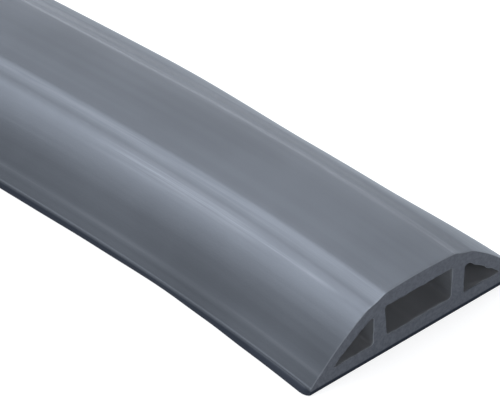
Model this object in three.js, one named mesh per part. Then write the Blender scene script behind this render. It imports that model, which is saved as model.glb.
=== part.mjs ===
// Floor cord cover: one length of flexible grey extrusion that lies flat on a floor.
// Its section is a low hump with three cord channels, and both ends are cut square.
// The stock runs straight along Y and bends gently, as limp stock lies, towards its front end.
// Millimetres: X across the cover, Y along it, Z up from the floor.

import * as THREE from 'three';
import { mergeVertices } from 'three/addons/utils/BufferGeometryUtils.js';

// Stock
const coverWidth = 76;
const coverHeight = 21.3;
const stockLength = 1524;

// Cord channels and the walls around them
const centreChannelWidth = 23.6;
const webThickness = 4.5;
const floorThickness = 5.9;
const sideFloorThickness = 5.2;
const crownThickness = 5.0;
const flankThicknessAtWeb = 4.2;
const flankThicknessAtLip = 3.2;
const channelRounding = 1.1;
const narrowCornerRounding = 0.6;

// Outside of the hump: crown, the soft step over each web, shoulder, flank and thin lip
const crownRise = 0.5;
const stepFall = 1.7;
const shoulderWidth = 4.2;
const shoulderFall = 1.7;
const lipThickness = 2.4;
const lipRounding = 0.5;
const dipAngle = 12;
const shoulderAngle = 33;
const lipAngle = 48;

// Bend towards the front end: the heading turns by this angle, fastest at the cut
const bendAngle = 8.8;
const bendLength = 200;

// Fineness of the faceted solid
const bendLayers = 12;
const runLayers = 6;
const curveSegments = 4;
const roofSegments = 6;
const searchHalvings = 40;
const handleShare = 1 / 3;
const weldDistance = 1e-4;

const centreChannelHalf = centreChannelWidth / 2;
const webOuterFace = centreChannelHalf + webThickness;

// A point of the right half of the section, with the slope of the surface there
function station(across, height, fallAngle) {
  return { across, height, fall: THREE.MathUtils.degToRad(fallAngle) };
}

// One smooth stretch of surface from an inner station to the next one out
function stretch(inner, outer) {
  const start = new THREE.Vector2(inner.across, inner.height);
  const end = new THREE.Vector2(outer.across, outer.height);
  const reach = start.distanceTo(end) * handleShare;
  const leave = new THREE.Vector2(Math.cos(inner.fall), -Math.sin(inner.fall)).multiplyScalar(reach);
  const arrive = new THREE.Vector2(Math.cos(outer.fall), -Math.sin(outer.fall)).multiplyScalar(reach);
  return new THREE.CubicBezierCurve(start, start.clone().add(leave), end.clone().sub(arrive), end);
}

// The top of the right half, from the middle of the crown out to the lip
function makeTopSurface() {
  const crownSlope = THREE.MathUtils.radToDeg(Math.atan2(2 * crownRise, centreChannelHalf));
  const crownMiddle = station(0, coverHeight, 0);
  const crownEdge = station(centreChannelHalf, coverHeight - crownRise, crownSlope);
  const dip = station(webOuterFace, crownEdge.height - stepFall, dipAngle);
  const shoulder = station(dip.across + shoulderWidth, dip.height - shoulderFall, shoulderAngle);
  const lipTop = station(coverWidth / 2 - lipRounding, lipThickness, lipAngle);
  const surface = new THREE.CurvePath();
  surface.add(stretch(crownMiddle, crownEdge));
  surface.add(stretch(crownEdge, dip));
  surface.add(stretch(dip, shoulder));
  surface.add(stretch(shoulder, lipTop));
  return surface;
}

// The underside of the hump's wall, at a place along the top surface: the wall thins towards the lip
function wallInside(surface, place) {
  const outside = surface.getPoint(place);
  const along = surface.getTangent(place);
  const share = THREE.MathUtils.inverseLerp(webOuterFace, coverWidth / 2, outside.x);
  const thickness = THREE.MathUtils.lerp(flankThicknessAtWeb, flankThicknessAtLip, Math.max(0, share));
  return new THREE.Vector2(outside.x + along.y * thickness, outside.y - along.x * thickness);
}

// The place along the top surface where a measure of the wall's inside reaches zero
function findPlace(surface, measure) {
  let before = 0;
  let after = 1;
  for (let halving = 0; halving < searchHalvings; halving += 1) {
    const middle = (before + after) / 2;
    if (measure(wallInside(surface, middle)) > 0) {
      before = middle;
    } else {
      after = middle;
    }
  }
  return (before + after) / 2;
}

// A closed outline whose marked corners are rounded, starting on a straight side
function roundedOutline(corners) {
  const path = new THREE.Path();
  corners.forEach((corner, index) => {
    const previous = corners[(index + corners.length - 1) % corners.length];
    const next = corners[(index + 1) % corners.length];
    if (!corner.rounding) {
      path.lineTo(corner.point.x, corner.point.y);
      return;
    }
    const arrive = corner.point.clone().sub(previous.point).setLength(corner.rounding);
    const leave = next.point.clone().sub(corner.point).setLength(corner.rounding);
    const start = corner.point.clone().sub(arrive);
    const end = corner.point.clone().add(leave);
    if (index === 0) {
      path.moveTo(start.x, start.y);
    } else {
      path.lineTo(start.x, start.y);
    }
    path.quadraticCurveTo(corner.point.x, corner.point.y, end.x, end.y);
  });
  path.closePath();
  return path;
}

function roundCorner(x, y, rounding = channelRounding) {
  return { point: new THREE.Vector2(x, y), rounding };
}

function makeCentreChannel() {
  const roofHeight = coverHeight - crownThickness;
  return roundedOutline([
    roundCorner(-centreChannelHalf, floorThickness),
    roundCorner(centreChannelHalf, floorThickness),
    roundCorner(centreChannelHalf, roofHeight),
    roundCorner(-centreChannelHalf, roofHeight)
  ]);
}

// The channel between a web and a flank: its roof follows the outside at the flank's thickness
function makeSideChannel(surface, side) {
  const atWeb = findPlace(surface, (inside) => webOuterFace - inside.x);
  const atFloor = findPlace(surface, (inside) => inside.y - sideFloorThickness);
  const roofRoundings = new Array(roofSegments + 1).fill(0);
  roofRoundings[0] = narrowCornerRounding;
  roofRoundings[roofSegments] = channelRounding;
  const roof = roofRoundings.map((rounding, step) => {
    const inside = wallInside(surface, THREE.MathUtils.lerp(atFloor, atWeb, step / roofSegments));
    return roundCorner(side * inside.x, inside.y, rounding);
  });
  return roundedOutline([roundCorner(side * webOuterFace, sideFloorThickness), ...roof]);
}

function makeSection() {
  const surface = makeTopSurface();
  const rightHalf = surface.curves.flatMap((curve, index) => {
    const points = curve.getPoints(curveSegments);
    return index === 0 ? points : points.slice(1);
  });
  const leftHalf = rightHalf.slice(1).map((point) => new THREE.Vector2(-point.x, point.y));
  const lipSide = lipThickness - lipRounding;
  const section = new THREE.Shape([
    new THREE.Vector2(-coverWidth / 2, 0),
    new THREE.Vector2(coverWidth / 2, 0),
    new THREE.Vector2(coverWidth / 2, lipSide),
    ...rightHalf.reverse(),
    ...leftHalf,
    new THREE.Vector2(-coverWidth / 2, lipSide)
  ]);
  section.holes.push(makeCentreChannel(), makeSideChannel(surface, 1), makeSideChannel(surface, -1));
  return section;
}

// How far the cover's heading is turned from the straight run, at a distance from the front cut
function headingAt(distance) {
  const share = Math.max(0, 1 - distance / bendLength);
  return THREE.MathUtils.degToRad(bendAngle) * share * share;
}

// Distances from the front cut of each layer of the solid: close together in the bend
function layerDistances() {
  const distances = [];
  for (let layer = 0; layer < bendLayers; layer += 1) {
    distances.push((bendLength * layer) / bendLayers);
  }
  for (let layer = 0; layer <= runLayers; layer += 1) {
    distances.push(THREE.MathUtils.lerp(bendLength, stockLength, layer / runLayers));
  }
  return distances;
}

// The middle line of the underside and its heading, at each layer
function middleLine() {
  const distances = layerDistances();
  let x = 0;
  let y = 0;
  return distances.map((distance, layer) => {
    if (layer > 0) {
      const step = distance - distances[layer - 1];
      const heading = headingAt((distance + distances[layer - 1]) / 2);
      x += step * Math.sin(heading);
      y += step * Math.cos(heading);
    }
    return { x, y, heading: headingAt(distance) };
  });
}

function makeCover() {
  const line = middleLine();
  const geometry = new THREE.ExtrudeGeometry(makeSection(), {
    depth: line.length - 1,
    steps: line.length - 1,
    bevelEnabled: false,
    curveSegments
  });
  const position = geometry.attributes.position;
  for (let index = 0; index < position.count; index += 1) {
    const across = position.getX(index);
    const height = position.getY(index);
    const layer = line[Math.round(position.getZ(index))];
    const x = layer.x + across * Math.cos(layer.heading);
    const y = layer.y - across * Math.sin(layer.heading);
    position.setXYZ(index, x, y, height);
  }
  geometry.deleteAttribute('normal');
  geometry.deleteAttribute('uv');
  const closed = mergeVertices(geometry, weldDistance);
  const faces = closed.index.array;
  for (let first = 0; first < faces.length; first += 3) {
    [faces[first + 1], faces[first + 2]] = [faces[first + 2], faces[first + 1]];
  }
  closed.computeBoundingBox();
  const middle = closed.boundingBox.getCenter(new THREE.Vector3());
  closed.translate(-middle.x, -middle.y, 0);
  closed.computeVertexNormals();
  const greyVinyl = new THREE.MeshStandardMaterial({ color: 0x6f7682, roughness: 0.42, metalness: 0 });
  const cover = new THREE.Mesh(closed, greyVinyl);
  cover.name = 'cord_cover';
  return cover;
}

const floorCordCover = new THREE.Group();
floorCordCover.add(makeCover());

export default floorCordCover;
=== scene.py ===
import math

import bmesh
import bpy
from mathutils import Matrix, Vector, noise


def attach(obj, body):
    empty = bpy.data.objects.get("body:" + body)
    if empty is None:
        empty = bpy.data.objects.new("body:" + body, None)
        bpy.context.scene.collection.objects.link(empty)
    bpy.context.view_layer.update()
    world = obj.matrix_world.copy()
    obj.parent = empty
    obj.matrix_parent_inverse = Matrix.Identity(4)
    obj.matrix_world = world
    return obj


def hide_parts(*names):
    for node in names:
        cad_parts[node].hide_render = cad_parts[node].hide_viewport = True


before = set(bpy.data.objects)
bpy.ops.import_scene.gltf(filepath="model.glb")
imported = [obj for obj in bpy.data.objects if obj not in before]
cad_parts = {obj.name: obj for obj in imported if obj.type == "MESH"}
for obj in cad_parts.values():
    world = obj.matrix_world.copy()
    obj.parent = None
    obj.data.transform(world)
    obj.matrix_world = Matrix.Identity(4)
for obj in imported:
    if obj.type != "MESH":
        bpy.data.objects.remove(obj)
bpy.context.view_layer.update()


# Camera
# It stands to the left of the cut end and a little above, and looks along the cover with a long lens.
# The far end of the stock runs out of the picture at the top left.
camera_place = (-0.39622, -1.04059, 0.42100)
camera_turn = math.radians(-48.906)
camera_rise = math.radians(38.091)
camera_back = Vector((
    math.sin(camera_turn) * math.cos(camera_rise),
    -math.cos(camera_turn) * math.cos(camera_rise),
    math.sin(camera_rise),
))
bpy.ops.object.camera_add(location=camera_place)
camera = bpy.context.object
camera.name = "camera"
camera.rotation_euler = (-camera_back).to_track_quat("-Z", "Y").to_euler()
camera.data.sensor_width = 36
camera.data.lens = 172.8
camera.data.clip_end = 100
bpy.context.scene.camera = camera


# Floor cord cover: the section
# The real piece is one extrusion of soft grey vinyl, pushed through a steel die that gives it this section:
# a low hump with a soft step over each inner web, thin lips, a flat base and three cord channels.
cover_width = 0.076
cover_height = 0.0213
stock_length = 1.524
centre_channel_half = 0.0118
web_outer_face = 0.0163
centre_floor = 0.0059
centre_roof = 0.0163
side_floor = 0.0052
side_roof_at_web = 0.01482
narrow_corner = 0.03004
channel_rounding = 0.0011
narrow_rounding = 0.0006
lip_top = 0.0018
lip_rounding = 0.0006
cut_rounding = 0.00022
section_smoothness = 10

# Places on the top of the right half, from the crown out: across, height, and how steeply it falls there
top_right = [
    (0.0, cover_height, 0.0),
    (0.0118, 0.0208, 5.0),
    (0.0134, 0.02034, 27.0),
    (0.0169, 0.01895, 13.0),
    (0.0200, 0.01762, 33.0),
    (0.0326, 0.00737, 46.5),
    (0.0347, 0.00527, 43.0),
    (0.0361, 0.00389, 48.5),
    (0.0375, 0.0024, 48.0),
]
top_places = [(-across, height, -fall) for across, height, fall in reversed(top_right[1:])] + top_right


def draw_outline(curve, places):
    """Each place is (point, arriving handle, leaving handle). A handle of None makes that side straight."""
    spline = curve.splines.new("BEZIER")
    spline.bezier_points.add(len(places) - 1)
    spline.use_cyclic_u = True
    spline.resolution_u = section_smoothness
    for bezier, (point, arriving, leaving) in zip(spline.bezier_points, places):
        bezier.co = (*point, 0)
        bezier.handle_left_type = "FREE" if arriving else "VECTOR"
        bezier.handle_right_type = "FREE" if leaving else "VECTOR"
        if arriving:
            bezier.handle_left = (*arriving, 0)
        if leaving:
            bezier.handle_right = (*leaving, 0)


def rounded_corner(before, corner, after, rounding):
    """The two places where a corner's rounding starts and ends."""
    corner = Vector(corner)
    start = corner + (Vector(before) - corner).normalized() * rounding
    end = corner + (Vector(after) - corner).normalized() * rounding
    return [
        (start, None, start.lerp(corner, 2 / 3)),
        (end, end.lerp(corner, 2 / 3), None),
    ]


def fill_walls(places, spacing):
    """Adds places along the straight walls of a channel, which fray where the blade breaks into it."""
    filled = []
    for index, place in enumerate(places):
        filled.append(place)
        following = places[(index + 1) % len(places)]
        if place[2] is None and following[1] is None:
            start = Vector(place[0])
            end = Vector(following[0])
            count = int((end - start).length / spacing)
            filled += [(start.lerp(end, step / (count + 1)), None, None) for step in range(1, count + 1)]
    return filled


def slope_vector(fall, length):
    return Vector((math.cos(math.radians(fall)), -math.sin(math.radians(fall)))) * length


bpy.ops.object.select_all(action="DESELECT")
bpy.ops.curve.primitive_bezier_curve_add(location=(0, 0, 0))
cover = bpy.context.object
cover.name = "vinyl_cord_cover"
section = cover.data
section.dimensions = "2D"
section.fill_mode = "BOTH"
section.splines.clear()

# The outside, from the left lip over the crown to the right lip, then back along the base
outside = []
for index, (across, height, fall) in enumerate(top_places):
    point = Vector((across, height))
    arriving = None
    leaving = None
    if index > 0:
        reach = (point - Vector(top_places[index - 1][:2])).length / 3
        arriving = point - slope_vector(fall, reach)
    if index < len(top_places) - 1:
        reach = (Vector(top_places[index + 1][:2]) - point).length / 3
        leaving = point + slope_vector(fall, reach)
    outside.append([point, arriving, leaving])
lip_side = cover_width / 2
lip_fall = top_right[-1][2]
nose_reach = 0.00028
corner_handle_share = 0.45
outside[0][1] = outside[0][0] - slope_vector(-lip_fall, nose_reach)
outside[-1][2] = outside[-1][0] + slope_vector(lip_fall, nose_reach)
right_lip = [
    ((lip_side, lip_top), (lip_side, lip_top + nose_reach), None),
    ((lip_side, lip_rounding), None, (lip_side, lip_rounding * corner_handle_share)),
    ((lip_side - lip_rounding, 0.0), (lip_side - lip_rounding * corner_handle_share, 0.0), None),
]
left_lip = [
    [None if vector is None else (-vector[0], vector[1]) for vector in (point, leaving, arriving)]
    for point, arriving, leaving in reversed(right_lip)
]
draw_outline(section, outside + right_lip + left_lip)

# The wide middle channel; its left wall leans, as the cut end shows
left_wall_foot = -0.0114
left_wall_top = -0.0126
left_roof_drop = 0.0002
centre_corners = [
    (left_wall_foot, centre_floor),
    (centre_channel_half, centre_floor),
    (centre_channel_half, centre_roof),
    (left_wall_top, centre_roof - left_roof_drop),
]
centre_places = []
for index, corner in enumerate(centre_corners):
    before = centre_corners[index - 1]
    after = centre_corners[(index + 1) % 4]
    centre_places += rounded_corner(before, corner, after, channel_rounding)
wall_spacing = 0.0011
draw_outline(section, fill_walls(centre_places, wall_spacing))

# The side channels: a floor, the web's face, and a roof that runs parallel to the outside. Each place on
# the roof has a fall and a handle's length on its side towards the lip, and then towards the web.
roof_places = [
    ((0.02957, 0.00562), (44.0, 0.0004), (44.0, 0.0023)),
    ((0.02413, 0.01013), (39.1, 0.0023), (39.1, 0.0023)),
    ((0.01828, 0.01406), (33.0, 0.0023), (32.0, 0.0003)),
    ((0.01734, 0.01450), (24.6, 0.0003), (20.0, 0.0006)),
]
narrow_handle = 0.0001
web_rounding = 0.0009
web_handle = 0.0004
for side in (1, -1):
    web_foot = (web_outer_face, side_floor)
    web_top = (web_outer_face, side_roof_at_web)
    narrow = (narrow_corner, side_floor)
    web_rounding_end = (web_outer_face, side_roof_at_web - web_rounding)
    places = rounded_corner(web_top, web_foot, narrow, channel_rounding)
    narrow_start = (narrow_corner - narrow_rounding, side_floor)
    places.append((narrow_start, None, (narrow_corner - narrow_handle, side_floor)))
    for point, towards_lip, towards_web in roof_places:
        point = Vector(point)
        places.append((point, point + slope_vector(*towards_lip), point - slope_vector(*towards_web)))
    places.append((web_rounding_end, (web_outer_face, side_roof_at_web - web_handle), None))
    places = [
        [
            None if vector is None else Vector((side * vector[0], vector[1]))
            for vector in place
        ]
        for place in places
    ]
    if side < 0:
        places = [(point, leaving, arriving) for point, arriving, leaving in reversed(places)]
    draw_outline(section, fill_walls(places, wall_spacing))


# Floor cord cover: the straight stock
# It leaves the die in one straight length and is cut square with a blade, which leaves the edges
# of each cut a little rounded. Here it lies along Y, its front cut at the low end.
section.bevel_depth = cut_rounding
section.bevel_resolution = 2
section.offset = -cut_rounding
section.extrude = stock_length / 2 - cut_rounding
cover.rotation_euler = (math.radians(90), 0, 0)
bpy.ops.object.convert(target="MESH")
cover = bpy.context.object
bpy.ops.object.transform_apply(location=False, rotation=True, scale=False)
stock = cover.data
weld_distance = 0.000002

bpy.ops.object.mode_set(mode="EDIT")
bpy.context.tool_settings.mesh_select_mode = (True, False, False)
bpy.ops.mesh.select_all(action="SELECT")
bpy.ops.mesh.remove_doubles(threshold=weld_distance)
bpy.ops.mesh.normals_make_consistent(inside=False)

# Rings across the stock, close together in the bend and wider in the straight run
bend_length = 0.2
seen_length = 0.5
ring_distances = [0.0006, 0.0012, 0.002, 0.003]
ring_distances += [0.004 * ring for ring in range(1, 50)]
ring_distances += [bend_length + 0.01 * ring for ring in range(31)]
ring_distances += [seen_length + 0.032 * ring for ring in range(1, 32)]
front_cut = -stock_length / 2
for distance in ring_distances:
    bpy.ops.mesh.select_all(action="SELECT")
    bpy.ops.mesh.bisect(plane_co=(0, front_cut + distance, 0), plane_no=(0, 1, 0))
bpy.ops.object.mode_set(mode="OBJECT")

# Where each point was in the straight stock: across, distance from the front cut, and height
straight_place = stock.attributes.new("straight_place", "FLOAT_VECTOR", "POINT")
for vertex in stock.vertices:
    across, along, height = vertex.co
    straight_place.data[vertex.index].vector = (across, along - front_cut, height)


# Floor cord cover: the bend
# The limp stock lies in a gentle bend towards its front end, as it came off its coil.
# Each ring is turned to the heading there and moved onto the bent middle line.
bend_angle = math.radians(8.8)


def heading_at(distance):
    share = max(0.0, 1 - distance / bend_length)
    return bend_angle * share * share


def middle_at(distance):
    steps = 400
    step = distance / steps
    across = 0.0
    along = 0.0
    for count in range(steps):
        heading = heading_at((count + 0.5) * step)
        across += step * math.sin(heading)
        along += step * math.cos(heading)
    return across, along


rings = {}
for vertex in stock.vertices:
    distance = round(vertex.co.y - front_cut, 6)
    if distance < bend_length:
        rings.setdefault(distance, []).append(vertex.index)
rest_of_run = [v.index for v in stock.vertices if round(v.co.y - front_cut, 6) >= bend_length]

bpy.ops.object.mode_set(mode="EDIT")


def select_points(indices):
    bpy.ops.mesh.select_all(action="DESELECT")
    edit = bmesh.from_edit_mesh(stock)
    edit.verts.ensure_lookup_table()
    for index in indices:
        edit.verts[index].select_set(True)
    edit.select_flush_mode()
    bmesh.update_edit_mesh(stock)


for distance, indices in rings.items():
    select_points(indices)
    across, along = middle_at(distance)
    bpy.ops.transform.rotate(
        value=heading_at(distance),
        orient_axis="Z",
        center_override=(0, front_cut + distance, 0),
    )
    bpy.ops.transform.translate(value=(across, along - distance, 0))
select_points(rest_of_run)
across, along = middle_at(bend_length)
bpy.ops.transform.translate(value=(across, along - bend_length, 0))

# The box of the whole cover is centred on the origin, as the solid's is
bpy.ops.object.mode_set(mode="OBJECT")
xs = [vertex.co.x for vertex in stock.vertices]
ys = [vertex.co.y for vertex in stock.vertices]
bpy.ops.object.mode_set(mode="EDIT")
bpy.ops.mesh.select_all(action="SELECT")
bpy.ops.transform.translate(value=(-(min(xs) + max(xs)) / 2, -(min(ys) + max(ys)) / 2, 0))
bpy.ops.mesh.normals_make_consistent(inside=False)
bpy.ops.object.mode_set(mode="OBJECT")

# The limp lips don't lie quite true. The flank on the outside of the bend is stretched, so it and its
# lip are drawn in there, and the foot of the other lip flares by a little more or less along it.
# Each flare place is a distance from the cut and how far the foot flares there.
drawn_in_most = 0.00195
drawn_in_across = (web_outer_face, 0.030)
drawn_in_starts = (0.004, 0.050)
drawn_in_ends = (0.075, 0.130)
flare_places = [
    (0.0, 0.0015), (0.025, 0.0013), (0.044, 0.0008), (0.062, 0.0004), (0.088, 0.0008), (0.115, 0.0011),
    (0.300, 0.0006), (0.450, 0.0),
]
flare_across = (0.0362, 0.0376)
flare_height = (0.0004, lip_top)
flare_corner = 0.0030
straight_place = stock.attributes["straight_place"]


def share_between(value, low, high):
    share = min(1.0, max(0.0, (value - low) / (high - low)))
    return share * share * (3 - 2 * share)


def flare_at(distance):
    flare = flare_places[0][1]
    for (low, low_flare), (high, high_flare) in zip(flare_places, flare_places[1:]):
        if distance > low:
            flare = low_flare + (high_flare - low_flare) * share_between(distance, low, high)
    corner = 1 - min(1.0, max(0.0, distance) / flare_corner)
    return flare * math.sqrt(1 - corner * corner)


for vertex in stock.vertices:
    across, distance, height = straight_place.data[vertex.index].vector
    if distance > flare_places[-1][0]:
        continue
    drawn_in = drawn_in_most * share_between(across, *drawn_in_across)
    drawn_in *= share_between(distance, *drawn_in_starts) * (1 - share_between(distance, *drawn_in_ends))
    flare = 0.0
    if across < 0:
        flare = flare_at(distance) * share_between(-across, *flare_across)
        flare *= 1 - share_between(height, *flare_height)
    heading = heading_at(distance)
    vertex.co.x -= (drawn_in + flare) * math.cos(heading)
    vertex.co.y += (drawn_in + flare) * math.sin(heading)

# The blade drags the vinyl where it breaks into the channels, so their mouths are a little ragged. It
# drags most at the right one.
ragged_depth = 0.0025
ragged_fully = 0.0004
ragged_most = 0.00060
ragged_share_elsewhere = 0.55
right_channel_start = web_outer_face - 0.001
frays_per_metre = 420
fray_seed = 4
noise.seed_set(fray_seed)
channel_floor_limit = 0.0045
channel_roof_limit = 0.0172
channel_roof_fall = 0.62
channel_margin = 0.0004


def inside_channels(across, height):
    """Whether a place in the section lies on a channel's wall, and not on the outside."""
    roof_limit = channel_roof_limit - max(0.0, abs(across) - web_outer_face) * channel_roof_fall
    return abs(across) < narrow_corner + channel_margin and channel_floor_limit < height < roof_limit


for vertex in stock.vertices:
    across, distance, height = straight_place.data[vertex.index].vector
    to_cut = min(distance, stock_length - distance)
    if to_cut > ragged_depth or not inside_channels(across, height):
        continue
    pull = noise.noise_vector(Vector((across, to_cut, height)) * frays_per_metre)
    fray = ragged_most * (1 - share_between(to_cut, ragged_fully, ragged_depth))
    if across < right_channel_start:
        fray *= ragged_share_elsewhere
    vertex.co.x += pull.x * fray
    vertex.co.z += pull.z * fray
smooth_below = math.radians(38)
bpy.ops.object.shade_smooth_by_angle(angle=smooth_below)


# Floor cord cover: the grey vinyl
# Satin grey vinyl, coloured through. The die leaves faint lines along it, the skin has a slight
# peel and cloudiness, and the blade leaves the cut faces dull and finely grained. The pale streaks on
# the ridges and cut rims are painted highlights, the dark band at the foot of each lip and cut is
# painted shadow, and the channels' insides are painted lighter than the skin as painted fill light.
vinyl_dark = (0.087, 0.0925, 0.1015)
vinyl_light = (0.110, 0.117, 0.128)
# The channels' insides are painted much lighter than the skin, as painted fill light in the shaded channels
channel_dark = (0.205, 0.203, 0.205)
channel_light = (0.255, 0.253, 0.255)
cut_dark = (0.100, 0.103, 0.113)
cut_light = (0.138, 0.141, 0.154)
# Painted shadow: the lowest part of each lip and of the cut faces is darkened to this near black, standing
# in for the shade where the cover meets the floor
foot_shadow_colour = (0.020, 0.024, 0.034)
# Painted highlights: the cut rims and the ridges along the stock are lightened towards this pale colour, in
# streaks
painted_highlight_colour = (0.298, 0.304, 0.318)
reflection_tint = (0.84, 0.90, 1.0)
rim_width = 0.0006
peel_lumps_per_metre = 1500
gloss_spread = 0.03
foot_dulling = 0.25
streaks_per_metre = 1500
streak_runs_per_metre = 30
streak_faintest = 0.08
streak_strongest = 0.42


def add_node(tree, kind, **values):
    node = tree.nodes.new(kind)
    for name, value in values.items():
        setattr(node, name, value)
    return node


def start_group(name, inputs, outputs):
    """A shader node group with plain number or vector inputs and number outputs."""
    group = bpy.data.node_groups.new(name, "ShaderNodeTree")
    for title, kind in inputs:
        group.interface.new_socket(title, in_out="INPUT", socket_type="NodeSocket" + kind)
    for title in outputs:
        group.interface.new_socket(title, in_out="OUTPUT", socket_type="NodeSocketFloat")
    return group, add_node(group, "NodeGroupInput"), add_node(group, "NodeGroupOutput")


def add_maths(tree, operation, first, second=None, clamp=False):
    """One maths node; each value is a number or an output socket."""
    node = add_node(tree, "ShaderNodeMath", operation=operation, use_clamp=clamp)
    for socket, value in zip(node.inputs, (first, second)):
        if value is None:
            continue
        if isinstance(value, (int, float)):
            socket.default_value = value
        else:
            tree.links.new(value, socket)
    return node.outputs["Value"]


def add_range(tree, value, low, high, to_low=0.0, to_high=1.0):
    """A smooth step of a value from one range to another."""
    node = add_node(tree, "ShaderNodeMapRange", interpolation_type="SMOOTHSTEP")
    node.inputs["From Min"].default_value = low
    node.inputs["From Max"].default_value = high
    node.inputs["To Min"].default_value = to_low
    node.inputs["To Max"].default_value = to_high
    tree.links.new(value, node.inputs["Value"])
    return node.outputs["Result"]


# Streaks that run along the stock: fine across it and long down it
extrusion_lines, start, end = start_group(
    "extrusion_lines",
    [("Place", "Vector"), ("Lines per metre", "Float"), ("Runs per metre", "Float")],
    ["Lines"],
)
scale = add_node(extrusion_lines, "ShaderNodeCombineXYZ")
extrusion_lines.links.new(start.outputs["Lines per metre"], scale.inputs["X"])
extrusion_lines.links.new(start.outputs["Runs per metre"], scale.inputs["Y"])
extrusion_lines.links.new(start.outputs["Lines per metre"], scale.inputs["Z"])
stretched = add_node(extrusion_lines, "ShaderNodeVectorMath", operation="MULTIPLY")
extrusion_lines.links.new(start.outputs["Place"], stretched.inputs[0])
extrusion_lines.links.new(scale.outputs["Vector"], stretched.inputs[1])
streaks = add_node(extrusion_lines, "ShaderNodeTexNoise", noise_dimensions="3D")
streaks.inputs["Scale"].default_value = 1.0
streaks.inputs["Detail"].default_value = 2.0
streaks.inputs["Roughness"].default_value = 0.55
extrusion_lines.links.new(stretched.outputs["Vector"], streaks.inputs["Vector"])
extrusion_lines.links.new(streaks.outputs["Fac"], end.inputs["Lines"])

# Peel and cloudiness of the vinyl: small round lumps and soft patches
vinyl_mottle, start, end = start_group(
    "vinyl_mottle",
    [("Place", "Vector"), ("Lumps per metre", "Float"), ("Patches per metre", "Float")],
    ["Lumps", "Patches"],
)
for title, output, detail in (("Lumps per metre", "Lumps", 1.0), ("Patches per metre", "Patches", 3.0)):
    spots = add_node(vinyl_mottle, "ShaderNodeTexNoise", noise_dimensions="3D")
    spots.inputs["Detail"].default_value = detail
    vinyl_mottle.links.new(start.outputs["Place"], spots.inputs["Vector"])
    vinyl_mottle.links.new(start.outputs[title], spots.inputs["Scale"])
    vinyl_mottle.links.new(spots.outputs["Fac"], end.inputs[output])

# Masks for painted light: the rims of the two cuts and the ridges that run along the stock, where
# highlights are painted, and the foot of each lip, where a shadow is painted. Each ridge is its place
# across, its half width, its strength, and the distances from the cut over which it comes in and fades out.
painted_light_masks, start, end = start_group(
    "painted_light_masks",
    [("Place", "Vector"), ("Rim width", "Float"), ("Foot height", "Float")],
    ["Rim", "Foot", "Ridges"],
)
parts = add_node(painted_light_masks, "ShaderNodeSeparateXYZ")
painted_light_masks.links.new(start.outputs["Place"], parts.inputs["Vector"])
# The rim mask, where an edge highlight is painted: full at each cut, gone a rim width in
from_back = add_maths(painted_light_masks, "SUBTRACT", stock_length, parts.outputs["Y"])
to_cut = add_maths(painted_light_masks, "MINIMUM", parts.outputs["Y"], from_back)
cut_share = add_maths(painted_light_masks, "DIVIDE", to_cut, start.outputs["Rim width"])
rim = add_range(painted_light_masks, cut_share, 0.0, 1.0, 1.0, 0.0)
painted_light_masks.links.new(rim, end.inputs["Rim"])
# The foot mask, where a shadow is painted: full below three quarters of the foot height, gone above it
height_share = add_maths(painted_light_masks, "DIVIDE", parts.outputs["Z"], start.outputs["Foot height"])
foot = add_range(painted_light_masks, height_share, 0.75, 1.15, 1.0, 0.0)
painted_light_masks.links.new(foot, end.inputs["Foot"])
ridges = [
    (-0.0143, 0.0024, 0.48, None, None),
    (0.0129, 0.0027, 0.80, None, None),
    (-0.0197, 0.0035, 1.05, (0.034, 0.056), (0.085, 0.118)),
    (0.0197, 0.0035, 0.60, (0.034, 0.056), (0.085, 0.118)),
    (-0.0197, 0.0007, 1.30, (0.006, 0.022), (0.044, 0.060)),
    (-0.0349, 0.0007, 0.35, None, None),
    (0.0349, 0.0007, 0.35, None, None),
]
all_ridges = None
for across, half_width, strength, comes_in, fades_out in ridges:
    off_ridge = add_maths(painted_light_masks, "SUBTRACT", parts.outputs["X"], across)
    off_ridge = add_maths(painted_light_masks, "ABSOLUTE", off_ridge)
    ridge = add_range(painted_light_masks, off_ridge, 0.0, half_width, strength, 0.0)
    if comes_in:
        ridge = add_maths(painted_light_masks, "MULTIPLY", ridge, add_range(painted_light_masks, to_cut, *comes_in))
        fade = add_range(painted_light_masks, to_cut, *fades_out, 1.0, 0.0)
        ridge = add_maths(painted_light_masks, "MULTIPLY", ridge, fade)
    all_ridges = add_maths(painted_light_masks, "ADD", all_ridges, ridge) if all_ridges else ridge
painted_light_masks.links.new(all_ridges, end.inputs["Ridges"])


def place_group(material, group, place, **values):
    """A node group in a material, fed with the place on the straight stock."""
    node = add_node(material.node_tree, "ShaderNodeGroup", node_tree=group)
    for title, value in values.items():
        node.inputs[title.replace("_", " ")].default_value = value
    material.node_tree.links.new(place, node.inputs["Place"])
    return node


def mix_colours(tree, share, first, second):
    node = add_node(tree, "ShaderNodeMix", data_type="RGBA")
    tree.links.new(share, node.inputs["Factor"])
    for socket, value in ((node.inputs[6], first), (node.inputs[7], second)):
        if isinstance(value, tuple):
            socket.default_value = (*value, 1)
        else:
            tree.links.new(value, socket)
    return node.outputs[2]


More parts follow.
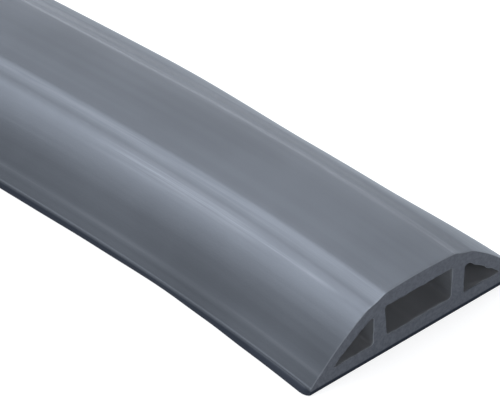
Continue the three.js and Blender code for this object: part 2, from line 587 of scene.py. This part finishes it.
def make_vinyl(
    name, dark, light, roughness, lines, line_depth, lump_depth, foot_height, rim_highlight, specular,
    tone_lines=150, tone_patches=28,
):
    material = bpy.data.materials.new(name)
    material.use_nodes = True
    tree = material.node_tree
    shader = tree.nodes["Principled BSDF"]
    shader.inputs["IOR"].default_value = 1.5
    shader.inputs["Specular IOR Level"].default_value = specular
    shader.inputs["Specular Tint"].default_value = (*reflection_tint, 1)
    place = add_node(tree, "ShaderNodeAttribute", attribute_name="straight_place").outputs["Vector"]
    broad = place_group(material, extrusion_lines, place, Lines_per_metre=tone_lines, Runs_per_metre=3)
    fine = place_group(material, extrusion_lines, place, Lines_per_metre=lines, Runs_per_metre=14)
    mottle = place_group(
        material, vinyl_mottle, place,
        Lumps_per_metre=peel_lumps_per_metre, Patches_per_metre=tone_patches,
    )
    edges = place_group(material, painted_light_masks, place, Rim_width=rim_width, Foot_height=foot_height)

    clouded = add_maths(tree, "ADD", broad.outputs["Lines"], mottle.outputs["Patches"])
    tone = add_range(tree, clouded, 0.75, 1.25)
    colour = mix_colours(tree, tone, dark, light)
    # Painted highlights: the rims of the cuts and the ridges along the stock are lightened towards a pale
    # colour, broken into streaks
    if rim_highlight:
        highlight_streaks = place_group(
            material, extrusion_lines, place,
            Lines_per_metre=streaks_per_metre, Runs_per_metre=streak_runs_per_metre,
        )
        streak_strength = add_range(tree, highlight_streaks.outputs["Lines"], 0.30, 0.70, streak_faintest, streak_strongest)
        rim = add_maths(tree, "MULTIPLY", edges.outputs["Rim"], rim_highlight)
        streaked = add_maths(tree, "MULTIPLY", edges.outputs["Ridges"], streak_strength)
        painted_highlights = add_maths(tree, "ADD", rim, streaked, clamp=True)
        colour = mix_colours(tree, painted_highlights, colour, painted_highlight_colour)
    # Painted shadow: the foot of each lip and of the cut is darkened almost to black
    colour = mix_colours(tree, edges.outputs["Foot"], colour, foot_shadow_colour)
    tree.links.new(colour, shader.inputs["Base Color"])

    sharpest = roughness - gloss_spread
    dullest = roughness + gloss_spread
    gloss = add_range(tree, fine.outputs["Lines"], 0.25, 0.75, sharpest, dullest)
    dulled = add_maths(tree, "MULTIPLY", edges.outputs["Foot"], foot_dulling)
    tree.links.new(add_maths(tree, "ADD", gloss, dulled, clamp=True), shader.inputs["Roughness"])

    line_bump = add_node(tree, "ShaderNodeBump")
    line_bump.inputs["Distance"].default_value = line_depth
    tree.links.new(fine.outputs["Lines"], line_bump.inputs["Height"])
    lump_bump = add_node(tree, "ShaderNodeBump")
    lump_bump.inputs["Distance"].default_value = lump_depth
    tree.links.new(mottle.outputs["Lumps"], lump_bump.inputs["Height"])
    tree.links.new(line_bump.outputs["Normal"], lump_bump.inputs["Normal"])
    tree.links.new(lump_bump.outputs["Normal"], shader.inputs["Normal"])
    return material


skin = make_vinyl(
    "grey_vinyl_skin", vinyl_dark, vinyl_light, roughness=0.33, lines=800,
    line_depth=0.000016, lump_depth=0.000012, foot_height=0.0018, rim_highlight=0.35, specular=0.56,
)
inside = make_vinyl(
    "grey_vinyl_channel", channel_dark, channel_light, roughness=0.55, lines=600,
    line_depth=0.00003, lump_depth=0.000012, foot_height=0.00001, rim_highlight=0.8, specular=0.35,
)
cut = make_vinyl(
    "grey_vinyl_cut", cut_dark, cut_light, roughness=0.6, lines=1400,
    line_depth=0.00001, lump_depth=0.00002, foot_height=0.0014, rim_highlight=0.0, specular=0.3,
    tone_lines=1300, tone_patches=600,
)
cover.data.materials.clear()
for material in (skin, inside, cut):
    cover.data.materials.append(material)

# Faces on the cuts, and faces inside the channels, take their own finish
for face in stock.polygons:
    places = [straight_place.data[index].vector for index in face.vertices]
    across = sum(place[0] for place in places) / len(places)
    height = sum(place[2] for place in places) / len(places)
    alongs = [place[1] for place in places]
    on_front = max(alongs) < cut_rounding * 0.5
    on_back = min(alongs) > stock_length - cut_rounding * 0.5
    if on_front or on_back:
        face.material_index = 2
        face.use_smooth = False
    elif inside_channels(across, height):
        face.material_index = 1
    else:
        face.material_index = 0

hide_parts("cord_cover")
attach(cover, "root")


# Floor
# A wide, plain white studio floor that the cover lies on. It glows a little, as a light table does, so
# that only pale shadows show on it. What it throws back onto the cover is dimmer and cooler.
floor_colour = (0.30, 0.30, 0.30)
floor_size = 80
floor_drop = 0.00002
glow_seen = (0.84, 0.84, 0.84)
glow_on_cover = (0.350, 0.396, 0.460)
bpy.ops.object.select_all(action="DESELECT")
bpy.ops.mesh.primitive_plane_add(size=floor_size, location=(0, 0, -floor_drop))
floor = bpy.context.object
floor.name = "studio_floor"
paint = bpy.data.materials.new("studio_white")
paint.use_nodes = True
paint.cycles.emission_sampling = "NONE"
paint_shader = paint.node_tree.nodes["Principled BSDF"]
paint_shader.inputs["Base Color"].default_value = (*floor_colour, 1)
paint_shader.inputs["Roughness"].default_value = 0.8
paint_shader.inputs["Specular IOR Level"].default_value = 0.1
paint_shader.inputs["Emission Strength"].default_value = 1.0
camera_ray = add_node(paint.node_tree, "ShaderNodeLightPath").outputs["Is Camera Ray"]
glow = mix_colours(paint.node_tree, camera_ray, glow_on_cover, glow_seen)
paint.node_tree.links.new(glow, paint_shader.inputs["Emission Color"])
floor.data.materials.append(paint)


# Light
# A long soft strip light arches over behind the cover, from its left to low at its right, and draws the
# bright lines on its shoulders. Soft lights above, far behind, in front and beside the camera fill the
# rest. All are a little cool. Each arch place is a direction across, and the light's strength there.
bpy.context.scene.view_settings.view_transform = "Standard"
light_colour = (0.95, 1.005, 1.09)
arch_behind = 0.52
arch_light_width = 18
arch_places = [
    (-0.45, 0.07), (-0.30, 0.65), (-0.15, 0.36), (0.0, 0.15),
    (0.15, 0.31), (0.45, 0.23), (0.75, 0.18), (0.84, 0.09),
]
soft_lights = []
for number, (across, strength) in enumerate(arch_places, 1):
    rise = math.sqrt(1 - arch_behind ** 2 - across ** 2)
    soft_lights.append((f"soft_arch_{number}", (across, arch_behind, rise), arch_light_width, strength))
soft_lights += [
    ("soft_light_top", (0, 0.2, 0.98), 26, 1.36),
    ("soft_light_far", (0.6, 0.8, 0.1), 26, 0.61),
    ("soft_light_front", (-0.15, -0.9, 0.3), 60, 0.45),
    ("soft_light_camera", (-0.55, -0.60, 0.58), 20, 0.45),
]
for name, direction, width, strength in soft_lights:
    bpy.ops.object.light_add(type="SUN", location=(0, 0, 3))
    soft_light = bpy.context.object
    soft_light.name = name
    soft_light.rotation_euler = Vector(direction).to_track_quat("Z", "Y").to_euler()
    soft_light.data.angle = math.radians(width)
    soft_light.data.energy = strength
    soft_light.data.color = light_colour

world = bpy.data.worlds.new("studio")
bpy.context.scene.world = world
world.use_nodes = True
room_colour = (0.095, 0.10, 0.11)
room = world.node_tree.nodes["Background"]
room.inputs["Color"].default_value = (*room_colour, 1)
room.inputs["Strength"].default_value = 1.0
seen = add_node(world.node_tree, "ShaderNodeBackground")
seen.inputs["Color"].default_value = (1, 1, 1, 1)
ray = add_node(world.node_tree, "ShaderNodeLightPath")
choose = add_node(world.node_tree, "ShaderNodeMixShader")
world.node_tree.links.new(ray.outputs["Is Camera Ray"], choose.inputs["Fac"])
world.node_tree.links.new(room.outputs["Background"], choose.inputs[1])
world.node_tree.links.new(seen.outputs["Background"], choose.inputs[2])
world.node_tree.links.new(choose.outputs["Shader"], world.node_tree.nodes["World Output"].inputs["Surface"])
